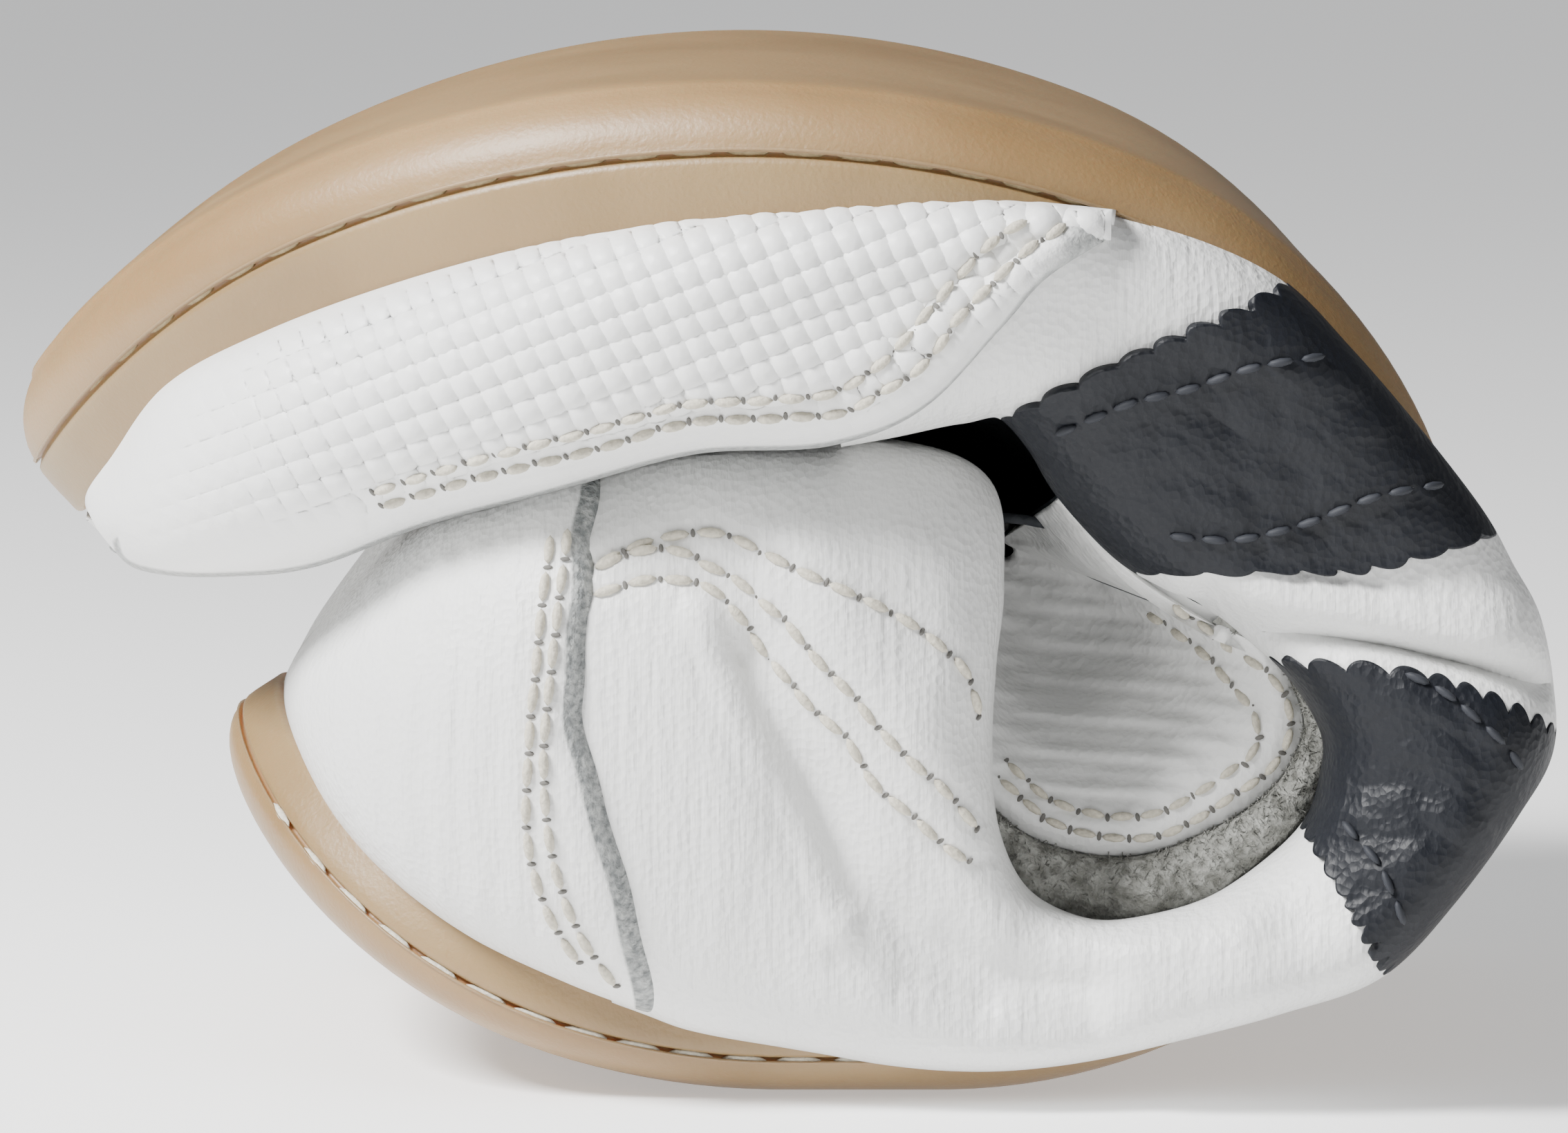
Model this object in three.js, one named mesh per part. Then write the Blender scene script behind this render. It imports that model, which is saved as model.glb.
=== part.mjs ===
// A low-cut leather sneaker with a gum-rubber cup sole, rolled up heel to toe with the sole outside.
// Millimetres, +Z up. The roll stands on the short flat of its sole. X runs across the roll, from the toe and
// heel side (-X) to the bend (+X), and Y runs across the shoe, with its lateral side at -Y.
import * as THREE from 'three';

// The tread seen from the side: a flat at the bottom, then arcs of [length, turn in degrees] each way.
const FLAT_FROM = 0;
const FLAT_TO = 13;
const ARCS_TO_TOE = [[35, 40], [30, 59], [52, 54], [68, 52], [26, 17]];
const ARCS_TO_HEEL = [[30, 28], [36, 45]];

const total = (arcs) => arcs.reduce((sum, [length]) => sum + length, 0);
const TOE_LENGTH = total(ARCS_TO_TOE);
const LENGTH = TOE_LENGTH + FLAT_TO - FLAT_FROM + total(ARCS_TO_HEEL);

// The sole in plan: half widths, and the rounded ends.
const WAIST_HALF_WIDTH = 39;
const BALL_EXTRA = 12;
const BALL_AT = 84;
const BALL_SPREAD = 48;
const TOE_CAP = 60;
const HEEL_CAP = 40;
const TOE_SWING = 5;
const SWING_LENGTH = 110;

// The cup sole in section.
const RIM_HEIGHT = 10;
const EDGE_INSET = 8;
const EDGE_HEIGHT = 6;
const RIM_WIDTH = 3.5;
const FLOOR_HEIGHT = 4.5;

// The upper starts a little above the sole's rim and inside its edge. Touching layers are GAP apart.
const GAP = 0.3;
const FOOT_GAP = 1.3;
const UPPER_INSET = 2.2;
const LEATHER = 1.3;

// Heights of the squashed toe half over the rim, and the line where the sides of the shoe end inside the
// roll: [distance from the toe, ...].
const TOE_HEIGHT = [[0, 12], [8, 18], [18, 22.5], [50, 22.5], [66, 21.5], [80, 19], [96, 16.5]];
const TOPLINE = [
  [82, 1, -40, 55.5], [92, 9, -39, 56.5], [104, 17, -38, 56], [114, 22, -38, 51.5], [122, 26, -38, 46],
  [130, 31, -39, 41.5], [138, 35.5, -39, 37], [146, 39.5, -39, 31.5], [154, 39, -39, 25.5],
  [162, 35, -38, 22], [170, 29.5, -38, 19], [178, 23.5, -38, 17], [186, 17.5, -37.5, 18],
  [193, 14.3, -37, 23], [200, 13.6, -36, 31], [206, 13, -35, 41], [213, 9.5, -34, 47.6],
  [224, 3, -33, 49.3], [238, -6, -31, 49.8], [254, -15, -28, 48.6], [268, -23, -20, 46.2],
  [281, -27.5, -10, 43.4], [LENGTH, -29.5, 0, 42.5],
];

// Where the roll is tightest the side of the shoe is pushed out over the edge of the sole:
// [distance from the toe, sideways, outward].
const OVERHANG = [
  [100, 0, 0], [128, 0, 0], [136, 4, 0], [142, 7.5, 5], [150, 8, 12], [158, 8, 15], [168, 8.5, 11],
  [175, 9, 5], [182, 6, 0], [190, 0, 0], [LENGTH, 0, 0],
];
const SWELL = 4.5;

// The rim of the tongue seen from the side, a U that opens up and to the left.
const TONGUE_RIM = [
  [15.2, 26.5], [17.4, 22.6], [21.8, 20.6], [27, 20.6], [32.2, 22.8], [36.6, 26], [38.2, 29.8], [36, 33.8],
  [32, 37.6], [27, 42], [23.5, 46],
];
const TONGUE_HALF_WIDTH = 33;
const TONGUE_WAIST = 0.42;
const TONGUE_CENTRE = [18, 42];

const RUBBER = { color: 0xb0946b, roughness: 0.45 };
const WHITE = { color: 0xebebe8, roughness: 0.5 };
const NAVY = { color: 0x2a2e36, roughness: 0.45 };
const THREAD = { color: 0xd7d2c6, roughness: 0.8 };
const FOAM = { color: 0x96968c, roughness: 1 };
const LINING = { color: 0xc9c6bd, roughness: 0.9 };
const BOARD = { color: 0x8a7a5e, roughness: 0.9 };

const shoe = new THREE.Group();

function addPiece(name, geometry, look) {
  const piece = new THREE.Mesh(geometry, new THREE.MeshStandardMaterial({ metalness: 0, ...look }));
  piece.name = name;
  shoe.add(piece);
}

// A smooth curve through rows of [distance, value, ...], read at one distance.
function follow(rows, s) {
  const last = rows.length - 1;
  const at = THREE.MathUtils.clamp(s, rows[0][0], rows[last][0]);
  let i = 0;
  while (i < last - 1 && rows[i + 1][0] < at) i += 1;
  const slope = (k, c) => {
    const a = rows[Math.max(k - 1, 0)];
    const b = rows[Math.min(k + 1, last)];
    return (b[c] - a[c]) / (b[0] - a[0]);
  };
  const length = rows[i + 1][0] - rows[i][0];
  const t = (at - rows[i][0]) / length;
  return rows[i].slice(1).map((start, k) => {
    const end = rows[i + 1][k + 1];
    const out = slope(i, k + 1) * length;
    const back = slope(i + 1, k + 1) * length;
    const square = 3 * (end - start) - 2 * out - back;
    const cube = 2 * (start - end) + out + back;
    return start + t * (out + t * (square + t * cube));
  });
}

// The path of the tread, from the toe at 0 to the heel.
function walk(arcs, distance, x, heading, side) {
  let [px, pz, angle, left] = [x, 0, heading, distance];
  arcs.forEach(([length, turn], i) => {
    const step = i === arcs.length - 1 ? left : Math.min(left, length);
    const bend = (side * THREE.MathUtils.degToRad(turn)) / length;
    px += (Math.sin(angle + bend * step) - Math.sin(angle)) / bend;
    pz += (Math.cos(angle) - Math.cos(angle + bend * step)) / bend;
    angle += bend * step;
    left -= step;
  });
  return { x: px, z: pz, nx: -side * Math.sin(angle), nz: side * Math.cos(angle) };
}

function tread(s) {
  if (s < TOE_LENGTH) return walk(ARCS_TO_TOE, TOE_LENGTH - s, FLAT_TO, 0, 1);
  const past = s - TOE_LENGTH - (FLAT_TO - FLAT_FROM);
  if (past < 0) return { x: FLAT_TO - (s - TOE_LENGTH), z: 0, nx: 0, nz: 1 };
  return walk(ARCS_TO_HEEL, past, FLAT_FROM, Math.PI, -1);
}

function halfWidth(s) {
  const cap = (room, length) => (room < length ? Math.sqrt(Math.max(0, 1 - (1 - room / length) ** 2)) : 1);
  const ball = BALL_EXTRA * Math.exp(-(((s - BALL_AT) / BALL_SPREAD) ** 2));
  return (WAIST_HALF_WIDTH + ball) * cap(s, TOE_CAP) * cap(LENGTH - s, HEEL_CAP);
}

const swing = (s) => TOE_SWING * Math.max(0, 1 - s / SWING_LENGTH) ** 2;

// A point of the flat shoe (s along it, y across it, h above the tread), rolled up.
function roll(s, y, h) {
  const p = tread(s);
  return new THREE.Vector3(p.x + p.nx * h, y + swing(s), p.z + p.nz * h);
}

// Distances along the shoe that crowd together at its round ends.
function ease(w, end = 0.12) {
  const from = (v) => (v < end ? (v * v) / (2 * end) : v - end / 2) / (1 - end);
  return w < 0.5 ? from(w) : 1 - from(1 - w);
}

// A closed body from its points and the triples that make its faces.
function solid(points, faces) {
  const geometry = new THREE.BufferGeometry();
  const numbers = points.flatMap((p) => [p.x, p.y, p.z]);
  geometry.setAttribute('position', new THREE.Float32BufferAttribute(numbers, 3));
  geometry.setIndex(faces);
  geometry.computeVertexNormals();
  return geometry;
}

// Stations along the sole. The nearest ones are moved to the ends of the flat, so that it comes out flat.
const SOLE_STEPS = 32;
const STATIONS = Array.from({ length: SOLE_STEPS + 1 }, (_, i) => LENGTH * ease(i / SOLE_STEPS));
for (const end of [TOE_LENGTH, TOE_LENGTH + FLAT_TO - FLAT_FROM]) {
  const distances = STATIONS.map((s) => Math.abs(s - end));
  STATIONS[distances.indexOf(Math.min(...distances))] = end;
}

// A sole layer: rings of [inset, height, share of the way out], from the middle of its underside round its
// edge to the middle of its top. The middle of each face lies on the shoe's centre line.
function soleLayer(rings) {
  const points = [];
  const around = 2 * SOLE_STEPS;
  rings.forEach(([inset, height, share = 1]) => {
    for (let i = 0; i < around; i += 1) {
      const near = i <= SOLE_STEPS;
      const s = STATIONS[near ? i : around - i];
      const spine = THREE.MathUtils.clamp(s, TOE_CAP, LENGTH - HEEL_CAP);
      const out = new THREE.Vector2(s - spine, (near ? -1 : 1) * halfWidth(s));
      out.setLength(Math.max(0, out.length() - inset) * share);
      points.push(roll(spine + out.x, out.y, height));
    }
  });
  const faces = [];
  for (let r = 0; r < rings.length - 1; r += 1) {
    for (let i = 0; i < around; i += 1) {
      const [a, b] = [r * around + i, r * around + ((i + 1) % around)];
      faces.push(a, a + around, b, b, a + around, b + around);
    }
  }
  return solid(points, faces);
}

// A sheet of a given surface(u, v), between two depths under it.
const STEP = 1e-3;

function sheet(surface, acrossU, acrossV, outer, inner) {
  const points = [];
  for (const depth of [outer, inner]) {
    for (let i = 0; i <= acrossU; i += 1) {
      for (let j = 0; j <= acrossV; j += 1) {
        const [u, v] = [i / acrossU, j / acrossV];
        const at = (a, b) => surface(THREE.MathUtils.clamp(a, 0, 1), THREE.MathUtils.clamp(b, 0, 1));
        const du = at(u + STEP, v).sub(at(u - STEP, v));
        const dv = at(u, v + STEP).sub(at(u, v - STEP));
        points.push(at(u, v).addScaledVector(du.cross(dv).normalize(), depth));
      }
    }
  }
  const row = acrossV + 1;
  const layer = (acrossU + 1) * row;
  const faces = [];
  const quad = (a, b, c, d) => faces.push(a, b, c, a, c, d);
  for (let i = 0; i < acrossU; i += 1) {
    for (let j = 0; j < acrossV; j += 1) {
      const a = i * row + j;
      quad(a, a + 1, a + row + 1, a + row);
      quad(layer + a, layer + a + row, layer + a + row + 1, layer + a + 1);
    }
    const low = i * row;
    const high = low + acrossV;
    quad(low, low + row, layer + low + row, layer + low);
    quad(high, layer + high, layer + high + row, high + row);
  }
  for (let j = 0; j < acrossV; j += 1) {
    const far = acrossU * row + j;
    quad(j, layer + j, layer + j + 1, j + 1);
    quad(far, far + 1, layer + far + 1, layer + far);
  }
  return solid(points, faces);
}

// The side of the shoe over the sole's rim: v climbs from the rim to the top line. side is -1 or 1.
function sideWall(s, v, side) {
  const [sideways, outward] = follow(OVERHANG, s);
  const half = Math.max(0, halfWidth(s) - UPPER_INSET) + sideways;
  const [x, y, z] = follow(TOPLINE, s);
  const top = new THREE.Vector3(x, -side * y, z);
  const swell = SWELL * Math.sin(Math.PI * v) * Math.min(1, halfWidth(s) / WAIST_HALF_WIDTH);
  const foot = roll(s, side * half, RIM_HEIGHT + FOOT_GAP - outward);
  return foot.lerp(top, v).add(new THREE.Vector3(0, side * swell, 0));
}

// Round the heel from one side to the other: w is 0 at the lateral end and 1 at the medial end.
function heelWall(from, low, high) {
  return (w, v) => {
    const side = w < 0.5 ? -1 : 1;
    const s = LENGTH - (LENGTH - from) * (2 * w - 1) ** 2;
    return sideWall(s, low + (high - low) * v, side);
  };
}

function sidePanel(side, from, to, low, high) {
  const [start, end] = side < 0 ? [from, to] : [to, from];
  return (w, v) => sideWall(start + (end - start) * w, low + (high - low) * v, side);
}

// The squashed toe box: an arch from the lateral rim (v = 0) over the vamp to the medial rim (v = 1).
const ARCH_POWER = 0.55;

function toeBox(s, v) {
  const angle = Math.PI * v;
  const [height] = follow(TOE_HEIGHT, s);
  const across = -Math.sign(Math.cos(angle)) * Math.abs(Math.cos(angle)) ** ARCH_POWER;
  return roll(
    s,
    across * Math.max(0, halfWidth(s) - UPPER_INSET),
    RIM_HEIGHT + FOOT_GAP + height * Math.sin(angle) ** ARCH_POWER,
  );
}

function archPanel(from, to, low = 0) {
  return (u, v) => toeBox(from + (to - from) * u ** 2, low + (1 - 2 * low) * v);
}

// Outsole. Its top and bottom have one more ring part of the way out, which carries the sole's twist.
const PART_OUT = 0.55;
const EDGE_BEND = 0.3;
addPiece('outsole', soleLayer([
  [0, 0, 0], [EDGE_INSET, 0, PART_OUT], [EDGE_INSET, 0], [EDGE_INSET * EDGE_BEND, EDGE_HEIGHT * EDGE_BEND],
  [0, EDGE_HEIGHT], [0, RIM_HEIGHT], [RIM_WIDTH, RIM_HEIGHT], [RIM_WIDTH, FLOOR_HEIGHT],
  [EDGE_INSET, FLOOR_HEIGHT, PART_OUT], [0, FLOOR_HEIGHT, 0],
]), RUBBER);

// What fills its cup. The layers bend with the roll, so they need more room between them than GAP.
const LAYER_GAP = 0.7;
const FILLER_TOP = 7.2;
const BOARD_TOP = 9;
const LINER = { inset: 11, low: 10, high: 11.6 };

function cupLayer(name, inset, low, high, look) {
  addPiece(name, soleLayer([
    [0, low, 0], [EDGE_INSET, low, PART_OUT], [inset, low],
    [inset, high], [EDGE_INSET, high, PART_OUT], [0, high, 0],
  ]), look);
}
cupLayer('foam_filler', RIM_WIDTH + GAP, FLOOR_HEIGHT + LAYER_GAP, FILLER_TOP, FOAM);
cupLayer('insole_board', RIM_WIDTH + GAP, FILLER_TOP + LAYER_GAP, BOARD_TOP, BOARD);
cupLayer('sock_liner', LINER.inset, LINER.low, LINER.high, LINING);

// Depths of the layers under the upper's outer surface.
const COVER = [-LEATHER, 0];
const SHELL = [1.2, 2.5];
const VAMP = [1.5, 2.5];
const STIFFENER = [3.2, 4.2];
const LINING_DEPTHS = [5, 5.8];
const QUARTER_LINING = [2.9, 3.6];
const COLLAR_PADDING = [4.5, 9];

// The toe half: lining, stiff toe puff and vamp under the embossed mudguard. The vamp ends in the bend.
const VAMP_TO = 96;
addPiece('vamp', sheet(archPanel(0.8, VAMP_TO), 16, 14, ...VAMP), WHITE);
addPiece('toe_puff', sheet(archPanel(4, 42, 0.03), 6, 12, ...STIFFENER), BOARD);
addPiece('vamp_lining', sheet(archPanel(6, VAMP_TO, 0.05), 12, 12, ...LINING_DEPTHS), LINING);

// The mudguard runs round the toe, widest at the tip, and slants away to the rim behind the ball of the foot.
const MUDGUARD_FROM = 0.5;
const MUDGUARD_TO = 100;
const MUDGUARD_SLANT = 26;
const MUDGUARD_SHARE = 0.36;

function mudguard(w, v) {
  const along = Math.abs(2 * w - 1);
  const s = MUDGUARD_FROM + (MUDGUARD_TO - MUDGUARD_FROM) * along ** 2;
  const share = MUDGUARD_SHARE * Math.min(1, (MUDGUARD_TO + 2 - s) / MUDGUARD_SLANT);
  return toeBox(s, w > 0.5 ? share * v : 1 - share * v);
}
addPiece('toe_mudguard', sheet(mudguard, 28, 6, ...COVER), WHITE);

// The sides: quarter, its lining, and the two navy stripes laid over it.
const SIDES = Object.entries({ lateral: -1, medial: 1 });
const STRIPES = Object.entries({ front: [104, 126], rear: [148, 166] });
for (const [word, side] of SIDES) {
  addPiece(`quarter_${word}`, sheet(sidePanel(side, 106, 236, 0, 1), 24, 8, ...SHELL), WHITE);
  const inside = sheet(sidePanel(side, 110, 142, 0.15, 0.85), 8, 4, ...QUARTER_LINING);
  addPiece(`quarter_lining_${word}`, inside, LINING);
  for (const [place, [from, to]] of STRIPES) {
    addPiece(`stripe_${place}_${word}`, sheet(sidePanel(side, from, to, 0.02, 0.9), 5, 7, ...COVER), NAVY);
  }
}

// The heel: cover, stiffener, padded collar and lining, each one piece round the heel.
addPiece('counter_cover', sheet(heelWall(224, 0, 0.97), 20, 5, ...COVER), WHITE);
addPiece('heel_stiffener', sheet(heelWall(246, 0.04, 0.6), 14, 3, ...STIFFENER), BOARD);
addPiece('collar_foam', sheet(heelWall(208, 0.66, 0.95), 20, 3, ...COLLAR_PADDING), FOAM);
addPiece('collar_lining', sheet(heelWall(210, 0.12, 0.6), 16, 3, ...LINING_DEPTHS), LINING);

// The tongue: a U seen from the side, narrowest in the middle of the shoe and flaring towards both sides.
const TONGUE_FACE = [0, 1.1];
const TONGUE_PADDING = [1.5, 4.2];
const TONGUE_BACK = [4.6, 5.3];

function tongue(u, v) {
  const at = TONGUE_RIM.length - 1;
  const rows = TONGUE_RIM.map(([x, z], i) => [i / at, x, z]);
  const [x, z] = follow(rows, v);
  const across = 2 * u - 1;
  const size = TONGUE_WAIST + (1 - TONGUE_WAIST) * Math.abs(across) ** 2;
  const [cx, cz] = TONGUE_CENTRE;
  return new THREE.Vector3(cx + (x - cx) * size, TONGUE_HALF_WIDTH * across, cz + (z - cz) * size);
}
addPiece('tongue_face', sheet(tongue, 8, 10, ...TONGUE_FACE), WHITE);
addPiece('tongue_foam', sheet(tongue, 8, 10, ...TONGUE_PADDING), FOAM);
addPiece('tongue_back', sheet(tongue, 8, 10, ...TONGUE_BACK), LINING);

// The sole's thread lies in the groove of the side wall.
const GROOVE = { low: 6.1, high: 7, inner: -0.3, outer: -1 };
addPiece('sole_thread', soleLayer([
  [GROOVE.inner, GROOVE.low], [GROOVE.outer, GROOVE.low], [GROOVE.outer, GROOVE.high],
  [GROOVE.inner, GROOVE.high], [GROOVE.inner, GROOVE.low],
]), THREAD);

// The other threads stand on the leather, along a route of [u, v] corners on a surface(u, v).
const THREAD_RADIUS = 0.45;
const THREAD_STEPS = 9;
const ON_COVER = -LEATHER - GAP - THREAD_RADIUS;
const ON_ROUND_TOE = ON_COVER - GAP;
const ON_SHELL = 0.35;
const ON_TONGUE = -GAP - THREAD_RADIUS;
const DARK_THREAD = { color: 0x16181d, roughness: 0.8 };

function addThread(name, surface, depth, corners, look, steps = THREAD_STEPS) {
  const guide = new THREE.CatmullRomCurve3(corners.map(([u, v]) => new THREE.Vector3(u, v, 0)));
  const points = guide.getPoints(steps).map(({ x: u, y: v }) => {
    const du = surface(u + STEP, v).sub(surface(u - STEP, v));
    const dv = surface(u, v + STEP).sub(surface(u, v - STEP));
    return surface(u, v).addScaledVector(du.cross(dv).normalize(), depth);
  });
  const section = new THREE.Shape();
  section.moveTo(THREAD_RADIUS, 0);
  section.lineTo(0, THREAD_RADIUS);
  section.lineTo(-THREAD_RADIUS, 0);
  section.lineTo(0, -THREAD_RADIUS);
  const extrudePath = new THREE.CatmullRomCurve3(points);
  addPiece(name, new THREE.ExtrudeGeometry(section, { steps, extrudePath }), look);
}

// Two rows run round the toe on the mudguard.
const ROUND_TOE_STEPS = 26;
const roundToe = (v) => [[0.02, v], [0.25, v], [0.5, v], [0.75, v], [0.98, v]];
addThread('mudguard_thread_outer', mudguard, ON_ROUND_TOE, roundToe(0.9), THREAD, ROUND_TOE_STEPS);
addThread('mudguard_thread_inner', mudguard, ON_ROUND_TOE, roundToe(0.75), THREAD, ROUND_TOE_STEPS);

// Rows that cross the side of the shoe from the rim to the top line, at one distance from the toe.
const CROSSING = {
  counter_thread_front: { s: 227, low: 0.06, high: 0.94, look: THREAD },
  counter_thread_back: { s: 231, low: 0.06, high: 0.94, look: THREAD },
};
const ROW_INSET = 3;
for (const [place, [from, to]] of STRIPES) {
  const row = { low: 0.06, high: 0.86, look: DARK_THREAD };
  CROSSING[`stripe_${place}_thread_fore`] = { s: from + ROW_INSET, ...row };
  CROSSING[`stripe_${place}_thread_aft`] = { s: to - ROW_INSET, ...row };
}

// Rows that fan out over the quarter from the counter to the eyelets: corners of [distance from the toe, v].
const FANNING = {
  quarter_thread_upper: [[220, 0.7], [212, 0.72], [204, 0.8], [199, 0.88]],
  quarter_thread_middle: [[220, 0.62], [210, 0.62], [205, 0.64], [201, 0.69]],
  quarter_thread_lower: [[220, 0.52], [211, 0.47], [206, 0.46], [202, 0.47]],
};

// Rows along both side edges of the tongue, at u and 1 - u.
const TONGUE_ROWS = { outer: 0.05, inner: 0.1 };

for (const [word, side] of SIDES) {
  const wall = (u, v) => sideWall(-side * u, v, side);
  for (const [name, { s, low, high, look }] of Object.entries(CROSSING)) {
    const corners = [low, (low + high) / 2, high].map((v) => [-side * s, v]);
    addThread(`${name}_${word}`, wall, ON_COVER, corners, look);
  }
  for (const [name, corners] of Object.entries(FANNING)) {
    addThread(`${name}_${word}`, wall, ON_SHELL, corners.map(([s, v]) => [-side * s, v]), THREAD);
  }
  for (const [place, row] of Object.entries(TONGUE_ROWS)) {
    const u = side < 0 ? row : 1 - row;
    const corners = [0.06, 0.3, 0.6, 0.9].map((v) => [u, v]);
    addThread(`tongue_thread_${place}_${word}`, tongue, ON_TONGUE, corners, THREAD);
  }
}

// The origin is the middle of the whole box, at the bottom.
const box = new THREE.Box3().setFromObject(shoe);
shoe.position.set(-(box.min.x + box.max.x) / 2, -(box.min.y + box.max.y) / 2, -box.min.z);

export default shoe;
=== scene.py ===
import math

import bmesh
import bpy
import numpy as np
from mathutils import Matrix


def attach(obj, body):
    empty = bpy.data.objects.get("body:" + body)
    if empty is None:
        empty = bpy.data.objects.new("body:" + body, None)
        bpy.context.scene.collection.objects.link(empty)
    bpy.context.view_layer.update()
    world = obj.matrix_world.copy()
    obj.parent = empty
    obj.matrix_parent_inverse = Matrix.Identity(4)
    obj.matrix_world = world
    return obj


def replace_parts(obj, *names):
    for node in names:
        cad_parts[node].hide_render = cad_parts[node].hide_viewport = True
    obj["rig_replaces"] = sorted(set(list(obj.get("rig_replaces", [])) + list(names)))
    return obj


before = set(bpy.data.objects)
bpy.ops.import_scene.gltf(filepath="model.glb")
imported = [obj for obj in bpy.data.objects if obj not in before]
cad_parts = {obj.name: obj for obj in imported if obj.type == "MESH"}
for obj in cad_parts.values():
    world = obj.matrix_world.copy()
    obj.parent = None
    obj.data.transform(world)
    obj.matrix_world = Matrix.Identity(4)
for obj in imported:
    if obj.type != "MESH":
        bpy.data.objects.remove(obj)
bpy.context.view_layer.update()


# Outsole. One moulding of gum rubber: a thin tread, and a side wall that stands round the shoe with a groove
# for the stitching. The shoe is rolled up, so the flat sole is made as a grid and wound round the roll.
MM = 0.001
FLAT = (-2.5, 10.5)
ARCS_TO_TOE = ((36, 43), (31, 54), (48.5, 62), (70.7, 46.5), (35, 32))
ARCS_TO_HEEL = ((24.7, 23), (33, 32))
TOE_LENGTH = sum(length for length, _ in ARCS_TO_TOE)
LENGTH = TOE_LENGTH + FLAT[1] - FLAT[0] + sum(length for length, _ in ARCS_TO_HEEL)
TOE_CAP, HEEL_CAP = 60, 40
WAIST, BALL, BALL_AT, BALL_SPREAD = 39, 12, 84, 48
SWING, SWING_LENGTH, SIDE_SHIFT = 5, 110, 0.3
RIM = ((0, 10.4), (14, 11.6), (30, 12), (60, 12), (117, 10), (175, 8), (LENGTH, 8))
EDGE_INSET = 8
TOE_LEAN, LEAN_FADE = 0.4, 9
GROOVE = 0.47
SOLE_SECTION = (
    (0, 0, 0, 0), (0.06, EDGE_INSET, 0, 0.5), (0.12, EDGE_INSET, 0, 1), (0.18, 4.6, 0.05, 1),
    (0.25, 2, 0.16, 1), (0.32, 0.5, 0.33, 1), (0.37, 0.1, 0.46, 1), (0.41, 0, GROOVE - 0.045, 1),
    (0.435, 0.25, GROOVE - 0.03, 1), (0.46, 1, GROOVE, 1), (0.485, 0.25, GROOVE + 0.03, 1),
    (0.51, 0, GROOVE + 0.045, 1), (0.58, 0, 0.85, 1), (0.64, 0.15, 0.96, 1), (0.68, 0.8, 1, 1),
    (0.76, 2.8, 1, 1), (0.8, 3.5, 0.96, 1), (0.86, 3.5, 0.45, 1), (0.92, EDGE_INSET, 0.42, 0.55),
    (1, 0, 0.42, 0),
)


def follow(rows, at):
    """A smooth curve through rows of (distance, value, ...), read at an array of distances."""
    rows = np.asarray(rows, float)
    key, value = rows[:, 0], rows[:, 1:]
    slope = np.gradient(value, key, axis=0)
    at = np.clip(np.asarray(at, float), key[0], key[-1])
    i = np.clip(np.searchsorted(key, at, side="right") - 1, 0, len(key) - 2)
    span = key[i + 1] - key[i]
    t = ((at - key[i]) / span)[..., None]
    a, b = value[i], value[i + 1]
    out, back = slope[i] * span[..., None], slope[i + 1] * span[..., None]
    return a + t * out + t * t * (3 * (b - a) - 2 * out - back) + t**3 * (2 * (a - b) + out + back)


def walk(arcs, distance, x, heading, side):
    """Where a path of arcs has got to, and the way into the roll there: x, z, nx, nz."""
    left = np.asarray(distance, float).copy()
    x, z = np.full_like(left, x), np.zeros_like(left)
    angle = np.full_like(left, heading)
    for i, (length, turn) in enumerate(arcs):
        step = left if i == len(arcs) - 1 else np.minimum(left, length)
        bend = side * math.radians(turn) / length
        x = x + (np.sin(angle + bend * step) - np.sin(angle)) / bend
        z = z + (np.cos(angle) - np.cos(angle + bend * step)) / bend
        angle, left = angle + bend * step, left - step
    return x, z, -side * np.sin(angle), side * np.cos(angle)


def tread(s):
    """The underside of the shoe so far from the toe: x, z and the way into the roll."""
    s = np.asarray(s, float)
    toe = walk(ARCS_TO_TOE, np.maximum(TOE_LENGTH - s, 0), FLAT[1], 0, 1)
    past = s - TOE_LENGTH - (FLAT[1] - FLAT[0])
    heel = walk(ARCS_TO_HEEL, np.maximum(past, 0), FLAT[0], math.pi, -1)
    level = (FLAT[1] - (s - TOE_LENGTH), np.zeros_like(s), np.zeros_like(s), np.ones_like(s))
    return [np.where(s < TOE_LENGTH, a, np.where(past < 0, b, c)) for a, b, c in zip(toe, level, heel)]


def half_width(s):
    """Half the width of the flat sole, with a round toe and heel."""

    def cap(room, length):
        return np.sqrt(np.clip(1 - np.clip(1 - room / length, 0, 1) ** 2, 0, 1))

    width = WAIST + BALL * np.exp(-(((s - BALL_AT) / BALL_SPREAD) ** 2))
    return width * cap(s, TOE_CAP) * cap(LENGTH - s, HEEL_CAP)


def swing(s):
    """How far the toe swings out sideways, as shoes do."""
    return SWING * np.clip(1 - s / SWING_LENGTH, 0, 1) ** 2 - SIDE_SHIFT


def roll(s, y, h):
    """A point of the flat shoe, h above the tread, wound round the roll."""
    x, z, nx, nz = tread(s)
    return x + nx * h, y + swing(s), z + nz * h


def ease(w, end=0.12):
    """0 to 1 at an even pace, with a slow start and finish."""

    def begin(v):
        return np.where(v < end, v * v / (2 * end), v - end / 2) / (1 - end)

    return np.where(w < 0.5, begin(w), 1 - begin(1 - w))


def choose(piece):
    """Makes a piece the only selected object and the active one."""
    for obj in bpy.context.selected_objects:
        obj.select_set(False)
    piece.select_set(True)
    bpy.context.view_layer.objects.active = piece


def deselect():
    for obj in bpy.context.selected_objects:
        obj.select_set(False)


def vertices(piece):
    at = np.empty(len(piece.data.vertices) * 3)
    piece.data.vertices.foreach_get("co", at)
    return at.reshape(-1, 3)


def put(piece, at):
    """Moves a piece's vertices to these places, in millimetres."""
    piece.data.vertices.foreach_set("co", (np.asarray(at) * MM).ravel())
    piece.data.update()


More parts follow.
